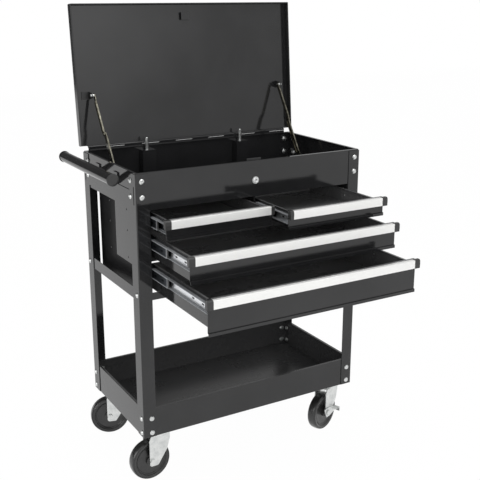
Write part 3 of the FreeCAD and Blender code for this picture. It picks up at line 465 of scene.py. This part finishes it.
def wheel_rubber(name):
    """Hard rubber with scuffs and dust on its tread."""
    rubber = Finish(name, Coat_Weight=0.28, Coat_Roughness=0.14)
    scuff = rubber.noise(*SCUFFS)
    rubber.feed("Base Color", rubber.blend(rubber.limit(scuff, 0.45, 0.7), *RUBBER))
    rubber.feed("Roughness", rubber.spread(scuff, 0.24, 0.40))
    rubber.bump(rubber.noise(*RUBBER_GRAIN), 0.2, GRAIN_DEPTH)
    return rubber.material


def bright_chrome():
    """Plated lock face with a satin turned centre."""
    chrome = Finish("bright_chrome", Metallic=0.55)
    turned = chrome.noise(*TURNED)
    chrome.feed("Base Color", chrome.blend(turned, *CHROME))
    chrome.feed("Roughness", chrome.spread(turned, 0.12, 0.24))
    return chrome.material


# painted shade for the recessed housing and divider: a flat paint that mirrors little
def housing_paint(name):
    return powder_coat(name, HOUSING_SHADE, HOUSING_SHADE_HAZE, HOUSING_GLOSS, HOUSING_SHADE_MIRROR)


FINISHES = {
    "black_paint": powder_coat("black_powder_coat"),
    "zinc_steel": plated_steel("zinc_plate", ZINC_BRIGHT, ZINC_DULL),
    "stay_zinc": plated_steel("yellow_zinc_plate", YELLOW_ZINC_BRIGHT, YELLOW_ZINC_DULL,
                              YELLOW_ZINC_GLOSS),
    "aluminium": brushed_aluminium("brushed_aluminium"),
    "black_plastic": moulded_plastic("moulded_plastic", PLASTIC_LEVEL, PLASTIC_GLOSS),
    "wheel_rubber": wheel_rubber("wheel_rubber"),
}

OWN_FINISHES = {
    "drawer_housing": housing_paint("housing_paint"),
    "centre_divider": housing_paint("divider_paint"),
    "bottom_tray": powder_coat("tray_paint", painted_light_in="bottom_tray", painted_light=TRAY_INSIDE_PAINTED_LIGHT),
    "lid_brackets": plated_and_painted("painted_brackets", bracket_paint),
    "lock_housing": plated_and_painted("lock_plating", latch_paint),
    "handle_tube": powder_coat("handle_paint", gloss=HANDLE_GLOSS),
}


def node_finishes():
    """Drawers and slides are finished one by one, by their own edges."""
    for name in frame["nodes"]:
        if name.startswith("drawer_box"):
            OWN_FINISHES[name] = powder_coat(name + "_paint", painted_light_in=name)
        if name.startswith("slide_"):
            OWN_FINISHES[name] = slide_steel(name + "_steel", name)


def finish_nodes():
    slots = {part["node"]: part["material_slot"] for part in frame["record"]["subparts"]}
    for name, node in frame["nodes"].items():
        material = OWN_FINISHES.get(name, FINISHES[slots[name]])
        if not node.material_slots:
            node.data.materials.append(material)
        for socket in node.material_slots:
            socket.material = material


# ---- mesh building -----------------------------------------------------------------------

SHARP_ANGLE = math.radians(35)
SAME_SPOT = 1e-7          # drawn corners closer than this are joined
BOX_FACES = ((0, 1, 3, 2), (4, 6, 7, 5), (0, 4, 5, 1), (2, 3, 7, 6), (0, 2, 6, 4), (1, 5, 7, 3))


def spun(shape, profile, turns, place):
    """Spin (radius, height) points about Z; a radius of 0 closes an end."""
    rings = []
    for radius, height in profile:
        count = turns if radius else 1
        ring = []
        for k in range(count):
            angle = 2 * math.pi * k / count
            spot = Vector((radius * math.cos(angle), radius * math.sin(angle), height))
            ring.append(shape.verts.new(place @ spot))
        rings.append(ring)
    for low, high in zip(rings, rings[1:]):
        for k in range(turns):
            n = k + 1
            corners = [low[k % len(low)], low[n % len(low)],
                       high[n % len(high)], high[k % len(high)]]
            corners = list(dict.fromkeys(corners))
            if len(corners) > 2:
                shape.faces.new(corners)


def slab(shape, low, high):
    """Box between two corners."""
    corners = [shape.verts.new((x, y, z)) for x in (low[0], high[0])
               for y in (low[1], high[1]) for z in (low[2], high[2])]
    for face in BOX_FACES:
        shape.faces.new([corners[k] for k in face])


def closed(shape):
    """Join the first and last ring of a profile that ends where it starts."""
    bmesh.ops.remove_doubles(shape, verts=shape.verts, dist=SAME_SPOT)


def piece(name, shape, body, slot, material=None, bevel=0.0):
    """Turn the drawn shape into an object that rides on a body."""
    if bevel:
        bmesh.ops.bevel(shape, geom=shape.edges[:], offset=bevel, segments=2, affect="EDGES",
                        profile=0.5)
    bmesh.ops.recalc_face_normals(shape, faces=shape.faces)
    mesh = bpy.data.meshes.new(name)
    shape.to_mesh(mesh)
    shape.free()
    mesh.shade_smooth()
    mesh.set_sharp_from_angle(angle=SHARP_ANGLE)
    mesh.materials.append(material or FINISHES[slot])
    made = bpy.data.objects.new(name, mesh)
    bpy.context.scene.collection.objects.link(made)
    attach(made, body)
    return made


def facing(spot, way):
    """Placement whose Z points the given way from the spot."""
    turn = Vector(way).to_track_quat("Z", "Y").to_matrix().to_4x4()
    return Matrix.Translation(Vector(spot)) @ turn


# ---- fasteners ---------------------------------------------------------------------------

# profiles: radius and height above the seat
BOLT_HEAD = ((0, 0.0024), (0.0016, 0.0024), (0.0020, 0.0034), (0.0034, 0.0039),
             (0.0052, 0.0033), (0.0068, 0.0020), (0.0078, 0.0006), (0.0078, 0.0), (0, 0.0))
NUT_SIDES = ((0.0, 0.0062), (0.0026, 0.0062), (0.0030, 0.0057), (0.0030, 0.0049),
             (0.0052, 0.0049), (0.0070, 0.0041), (0.0070, 0.0012), (0, 0.0012))
NUT_WASHER = ((0, 0.0012), (0.0084, 0.0012), (0.0088, 0.0008), (0.0088, 0.0), (0, 0.0))
RIVET = ((0, 0.0012), (0.0014, 0.0010), (0.0026, 0.0004), (0.0030, 0.0), (0, 0.0))

HEAD_T = 0.0045           # a bolt's solid thinner than this is its head
HEAD_TURNS = 20
NUT_CORNERS = 6
RIVET_TURNS = 12
RIVET_SPOTS = (0.040, 0.165, 0.290)   # behind the front end of the slide member
CABINET_RIVET_BACK = 0.010            # and this much further on the cabinet member
SAME_WALL = 1e-4


def frame_fasteners():
    """Domed heads outside the sheets and washers with nuts inside."""
    heads, nuts = bmesh.new(), bmesh.new()
    for low, high in solids("frame_bolts"):
        size = high - low
        thin = min(range(3), key=lambda k: size[k])
        middle = (low + high) / 2
        outward = 1 if middle[thin] > MIDDLE[thin] else -1
        head = size[thin] < HEAD_T
        way = Vector((0, 0, 0))
        way[thin] = outward if head else -outward
        seat = middle.copy()
        seat[thin] -= way[thin] * size[thin] / 2
        if head:
            spun(heads, BOLT_HEAD, HEAD_TURNS, facing(seat, way))
        else:
            spun(nuts, NUT_SIDES, NUT_CORNERS, facing(seat, way))
            spun(nuts, NUT_WASHER, HEAD_TURNS, facing(seat, way))
    made = piece("bolt_heads", heads, "frame", "zinc_steel")
    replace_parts(made, "frame_bolts")
    piece("bolt_nuts", nuts, "frame", "zinc_steel")


def drawer_rivets():
    """Rivets through the drawer sides into the slides, seen from inside."""
    for name in DRAWERS:
        shape = bmesh.new()
        for (low, high), way in zip(solids("slide_runner_" + name), (1, -1)):
            wall = high.x if way > 0 else low.x
            for behind in RIVET_SPOTS:
                spot = (wall + way * SHEET, low.y + behind, (low.z + high.z) / 2)
                spun(shape, RIVET, RIVET_TURNS, facing(spot, (way, 0, 0)))
        piece("rivets_" + name, shape, "drawer_" + name, "zinc_steel")


def housing_rivets():
    """Rivets that hold the cabinet members, seen on the outside of the housing."""
    members = solids("slide_cabinet")
    outer = {1: min(low.x for low, _ in members), -1: max(high.x for _, high in members)}
    shape = bmesh.new()
    for low, high in members:
        for way, wall in outer.items():
            face = low.x if way > 0 else high.x
            if abs(face - wall) > SAME_WALL:
                continue
            for behind in RIVET_SPOTS:
                y = low.y + behind + CABINET_RIVET_BACK
                spot = (wall - way * SHEET, y, (low.z + high.z) / 2)
                spun(shape, RIVET, RIVET_TURNS, facing(spot, (-way, 0, 0)))
    piece("rivets_housing", shape, "frame", "black_paint")


# ---- slides ------------------------------------------------------------------------------

BUMPER_L = 0.009
BUMPER_IN = 0.0035        # from the upper and lower edge of the member
BUMPER_FIT = 2e-4         # to the runner beside it
BUMPER_SEAT = 1e-4        # to the member behind it
BUMPER_ROUND = 3e-4
ASIDE = 1e-5


def slide_bumpers():
    """Black stop at the front end of each middle slide member."""
    for name in DRAWERS:
        shape = bmesh.new()
        members = zip(solids("slide_middle_" + name), solids("slide_runner_" + name))
        for (low, high), (runner_low, runner_high) in members:
            if low.x < runner_low.x - ASIDE:
                x0, x1 = low.x, runner_low.x - BUMPER_FIT
            else:
                x0, x1 = runner_high.x + BUMPER_FIT, high.x
            slab(shape, (x0, low.y - BUMPER_L, low.z + BUMPER_IN),
                 (x1, low.y - BUMPER_SEAT, high.z - BUMPER_IN))
        piece("slide_stops_" + name, shape, "middle_member_" + name, "black_plastic",
              bevel=BUMPER_ROUND)


# ---- hinge -------------------------------------------------------------------------------

KNUCKLE_PITCH = 0.0277    # one knuckle of each leaf
KNUCKLE_GAP = 0.0007
KNUCKLE_OVER = 0.0002     # further out than the leaf's own roll
KNUCKLE_EDGE = 0.16       # rounded share of the radius
KNUCKLE_TURNS = 18


def hinge_knuckles():
    """Rolled knuckles, by turns on the box leaf and on the lid leaf."""
    low, high = node_box("hinge_box_leaf")
    axis = joint_place("lid_hinge")
    radius = high.z - axis.z + KNUCKLE_OVER
    count = 2 * round((high.x - low.x) / KNUCKLE_PITCH)
    length = (high.x - low.x) / count
    rolls = (bmesh.new(), bmesh.new())
    half = length / 2 - KNUCKLE_GAP / 2
    edge = radius * KNUCKLE_EDGE
    profile = ((0, -half), (radius - edge, -half), (radius, edge - half),
               (radius, half - edge), (radius - edge, half), (0, half))
    for k in range(count):
        middle = (low.x + (k + 0.5) * length, axis.y, axis.z)
        spun(rolls[k % 2], profile, KNUCKLE_TURNS, facing(middle, (1, 0, 0)))
    piece("hinge_rolls_box", rolls[0], "frame", "black_paint")
    piece("hinge_rolls_lid", rolls[1], "lid", "black_paint")


# ---- lock --------------------------------------------------------------------------------

LOCK_RIM = ((0.0043, 0.0), (0.0070, 0.0), (0.0073, 0.0003), (0.0071, 0.0009), (0.0062, 0.0013),
            (0.0050, 0.0012), (0.0043, 0.0007), (0.0043, 0.0))
LOCK_PLUG = ((0, 0.0009), (0.0024, 0.0009), (0.0027, 0.0006), (0.0027, 0.0), (0, 0.0))
LOCK_GROOVE_SHADE = ((0.0027, 0.0001), (0.0043, 0.0001), (0.0044, 0.0003), (0.0027, 0.0003),
               (0.0027, 0.0001))
RIM_TURNS = 32
PLUG_TURNS = 24
KEYWAY_HALF_W = 0.0005
KEYWAY_HALF_H = 0.0020
KEYWAY_FACE = 0.0012      # its face and its foot ahead of the barrel
KEYWAY_FOOT = 0.0005


def key_slot():
    """Face of the key barrel: plated rim and plug; the groove and keyway between are black
    plastic pieces, painted shade of the recess and the hole.
    """
    axis = joint_place("key_turn")
    low, _ = node_box("lock_barrel")
    front = facing((axis.x, low.y, axis.z), (0, -1, 0))
    face = bmesh.new()
    spun(face, LOCK_RIM, RIM_TURNS, front)
    spun(face, LOCK_PLUG, PLUG_TURNS, front)
    closed(face)
    piece("lock_face_ring", face, "key", "zinc_steel", bright_chrome())
    # painted shade: black plastic fills the groove and the keyway hole
    way = bmesh.new()
    spun(way, LOCK_GROOVE_SHADE, PLUG_TURNS, front)
    closed(way)
    slab(way, (axis.x - KEYWAY_HALF_W, low.y - KEYWAY_FACE, axis.z - KEYWAY_HALF_H),
         (axis.x + KEYWAY_HALF_W, low.y - KEYWAY_FOOT, axis.z + KEYWAY_HALF_H))
    piece("keyway", way, "key", "black_plastic")


# ---- wheels ------------------------------------------------------------------------------

WHEEL_HALF = 0.0155       # half width of the tyre, and of the hub
HUB_HALF = 0.0188
HUB_SHARE = 0.27
WHEEL_TURNS = 96
# one face from hub to tread: share of the radius, share of the half width
WHEEL_SHARES = (
    (0.125, 1.00), (0.245, 1.00), (0.265, 0.97), (0.275, 0.66), (0.330, 0.62),
    (0.660, 0.60), (0.700, 0.64), (0.730, 0.80), (0.750, 0.84), (0.765, 0.76),
    (0.785, 0.76), (0.800, 0.88), (0.830, 0.95), (0.905, 0.97), (0.925, 0.90),
    (0.935, 0.90), (0.950, 0.96), (0.975, 0.84), (0.992, 0.62), (1.000, 0.30),
)


def wheels():
    """Moulded wheels: crowned tread, grooved faces and a stepped hub."""
    for name in CASTERS:
        node = "caster_wheel_" + name
        low, high = node_box(node)
        radius = (high.z - low.z) / 2
        roll = joint("wheel_" + name + "_roll")
        side = []
        for across, out in WHEEL_SHARES:
            depth = HUB_HALF if across < HUB_SHARE else WHEEL_HALF
            side.append((across * radius, out * depth))
        profile = side + [(r, -h) for r, h in reversed(side)]
        shape = bmesh.new()
        spun(shape, profile + profile[:1], WHEEL_TURNS, facing(roll["pos_m"], roll["axis"]))
        closed(shape)
        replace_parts(piece("wheel_tyre_" + name, shape, "wheel_" + name, "wheel_rubber"), node)


# ---- lid ---------------------------------------------------------------------------------

LID_SWING = 94.7          # degrees from shut to the resting lid
HEM_W = 0.009
HEM_T = 0.0020
HEM_ROUND = 8e-4
HEM_SUNK = 1e-4           # into the flange
HEM_LIFT = 2e-4           # above the flange's edge
HEM_SHORT = 0.030         # of the hinge side


def lid_hem():
    """Folded safety hem inside the open edge of the lid's flanges."""
    axis = joint_place("lid_hinge")
    opened = (Matrix.Translation(axis) @ Matrix.Rotation(math.radians(-LID_SWING), 4, "X")
              @ Matrix.Translation(-axis))
    shut = opened.inverted()
    corners = [shut @ vertex.co for vertex in frame["nodes"]["lid_panel"].data.vertices]
    low, high = (Vector(pick(c[k] for c in corners) for k in range(3)) for pick in (min, max))
    sunk = SHEET - HEM_SUNK
    z0, z1 = low.z + HEM_LIFT, low.z + HEM_W
    y0, y1 = low.y + sunk, high.y - HEM_SHORT
    x0, x1 = low.x + sunk, high.x - sunk
    shape = bmesh.new()
    slab(shape, (x0, y0, z0), (x0 + HEM_T, y1, z1))
    slab(shape, (x1 - HEM_T, y0, z0), (x1, y1, z1))
    slab(shape, (x0 + HEM_T, y0, z0), (x1 - HEM_T, y0 + HEM_T, z1))
    shape.transform(opened)
    piece("lid_hem", shape, "lid", "black_paint", bevel=HEM_ROUND)


# ---- floor and room ----------------------------------------------------------------------

FLOOR_HALF = 30.0
FLOOR_NEAR = grey(0.86)
FLOOR_FAR = grey(0.04)
SWEEP_END = 8.0           # the pale sweep fades out behind the cart
SWEEP_FADE = 3.0
SWEEP_WHITE = (0.98, 1.0)   # how much of its white is its own, near and far
BEHIND_FLOOR = (-2.0, 0.6)  # where its mirror image turns from front to back
WHITE = grey(1.0)

ROOM_TURN = (-0.6, 0.7)   # from the front of the room to its back
ROOM_LEVELS = (0.85, 0.90)
MIRRORED_LEVELS = (0.85, 0.95)
MIRRORED_DARK = 0.10      # dark corner behind on the left, in mirror images
CORNER_BACK = (0.0, 0.25)
CORNER_LEFT = (0.15, 0.45)
CORNER_RIGHT = 0.35       # what is left of the darkness on the right
SOFT_BOX = (0.2, -0.947, 0.25)
SOFT_BOX_GLOW = 1.3
SOFT_BOX_EDGE = (0.95, 1.0)


def floor():
    """White sweep that keeps the cart's shadow."""
    mesh = bpy.data.meshes.new("floor")
    near, far = -FLOOR_HALF, FLOOR_HALF
    corners = [(near, near, 0), (far, near, 0), (far, far, 0), (near, far, 0)]
    mesh.from_pydata(corners, [], [(0, 1, 2, 3)])
    ground = bpy.data.objects.new("floor", mesh)
    bpy.context.scene.collection.objects.link(ground)
    pale = Finish("pale_floor", Roughness=0.7)
    white = pale.add("ShaderNodeEmission", None, {"Color": WHITE, "Strength": 1.0})["Emission"]
    path = pale.add("ShaderNodeLightPath")
    _, y, _ = pale.along()
    away = pale.limit(y, SWEEP_END, SWEEP_END + SWEEP_FADE)
    mirrored = pale.mixed(away, 1.0, MIRRORED_DARK) * pale.limit(y, *BEHIND_FLOOR,
                                                                 *MIRRORED_LEVELS)
    pale.feed("Base Color", pale.blend(away, FLOOR_NEAR, FLOOR_FAR))
    seen = path["Is Camera Ray"] * pale.mixed(away, *SWEEP_WHITE)
    shown = pale.add("ShaderNodeMixShader", None, {
        0: seen + path["Is Glossy Ray"] * mirrored,
        1: Wire(pale, pale.shader.outputs["BSDF"]),
        2: white,
    })
    pale.join(pale.tree.nodes["Material Output"].inputs["Surface"], shown["Shader"])
    ground.data.materials.append(pale.material)


def world():
    """Pale room that is darker in front of the cart and white behind it."""
    surround = bpy.data.worlds.new("studio")
    surround.use_nodes = True
    bpy.context.scene.world = surround
    room = Nodes(surround.node_tree)
    backdrop = room.tree.nodes["Background"]
    room.join(backdrop.inputs["Color"], WHITE)
    path = room.add("ShaderNodeLightPath")
    sky = room.add("ShaderNodeTexCoord")["Generated"]
    way = room.add("ShaderNodeSeparateXYZ", None, {"Vector": sky})
    x, y = way["X"], way["Y"]
    mirrored, seen = path["Is Glossy Ray"], path["Is Camera Ray"]
    level = room.limit(y, *ROOM_TURN, *ROOM_LEVELS)
    corner = room.limit(y, *CORNER_BACK) * room.limit(x, *CORNER_LEFT, 1.0, CORNER_RIGHT)
    towards = room.vector("DOT_PRODUCT", sky, SOFT_BOX, "Value")
    shown = room.limit(y, *ROOM_TURN, *MIRRORED_LEVELS) * room.mixed(corner, 1.0, MIRRORED_DARK)
    shown = shown + room.limit(towards, *SOFT_BOX_EDGE, 0.0, SOFT_BOX_GLOW)
    level = level * (1 - mirrored) + shown * mirrored
    room.join(backdrop.inputs["Strength"], level * (1 - seen) + seen)


# ---- lamps and camera --------------------------------------------------------------------

# name, place and aim from the cart's middle, width and height, watts, seen in mirror images
LAMPS = (
    ("front", (-0.6, -3.6, 1.75), (0, 0, 0.7), (1.7, 1.2), 70, False),
    ("left", (-3.4, 0.2, 1.2), (0, 0, 0.5), (2.0, 1.6), 32, True),
    ("above", (0.0, -0.6, 3.4), (0, 0, 0.7), (1.8, 1.4), 26, True),
)

FILM_WIDTH = 36.0
LENS = 63.2
EYE = (-1.257, -2.2785, 1.432)   # from the cart's middle
EYE_YAW = 30.12
EYE_PITCH = -16.37


def lamps():
    for name, place, aim, size, power, mirrored in LAMPS:
        light = bpy.data.lights.new(name, "AREA")
        light.shape = "RECTANGLE"
        light.size, light.size_y = size
        light.energy = power
        holder = bpy.data.objects.new(name, light)
        holder.location = MIDDLE + Vector(place)
        way = MIDDLE + Vector(aim) - holder.location
        holder.rotation_euler = way.to_track_quat("-Z", "Y").to_euler()
        holder.visible_glossy = mirrored
        bpy.context.scene.collection.objects.link(holder)


def camera():
    """Eye height and standing distance of a person in front, to the left."""
    eye = bpy.data.cameras.new("camera")
    eye.sensor_width = FILM_WIDTH
    eye.lens = LENS
    holder = bpy.data.objects.new("camera", eye)
    holder.location = MIDDLE + Vector(EYE)
    yaw, pitch = math.radians(EYE_YAW), math.radians(EYE_PITCH)
    holder.rotation_euler = (math.pi / 2 + pitch, 0.0, -yaw)
    bpy.context.scene.collection.objects.link(holder)
    bpy.context.scene.camera = holder


node_finishes()
finish_nodes()
frame_fasteners()
drawer_rivets()
housing_rivets()
slide_bumpers()
hinge_knuckles()
lid_hem()
key_slot()
wheels()
floor()
world()
lamps()
camera()
bpy.context.scene.view_settings.view_transform = "Standard"
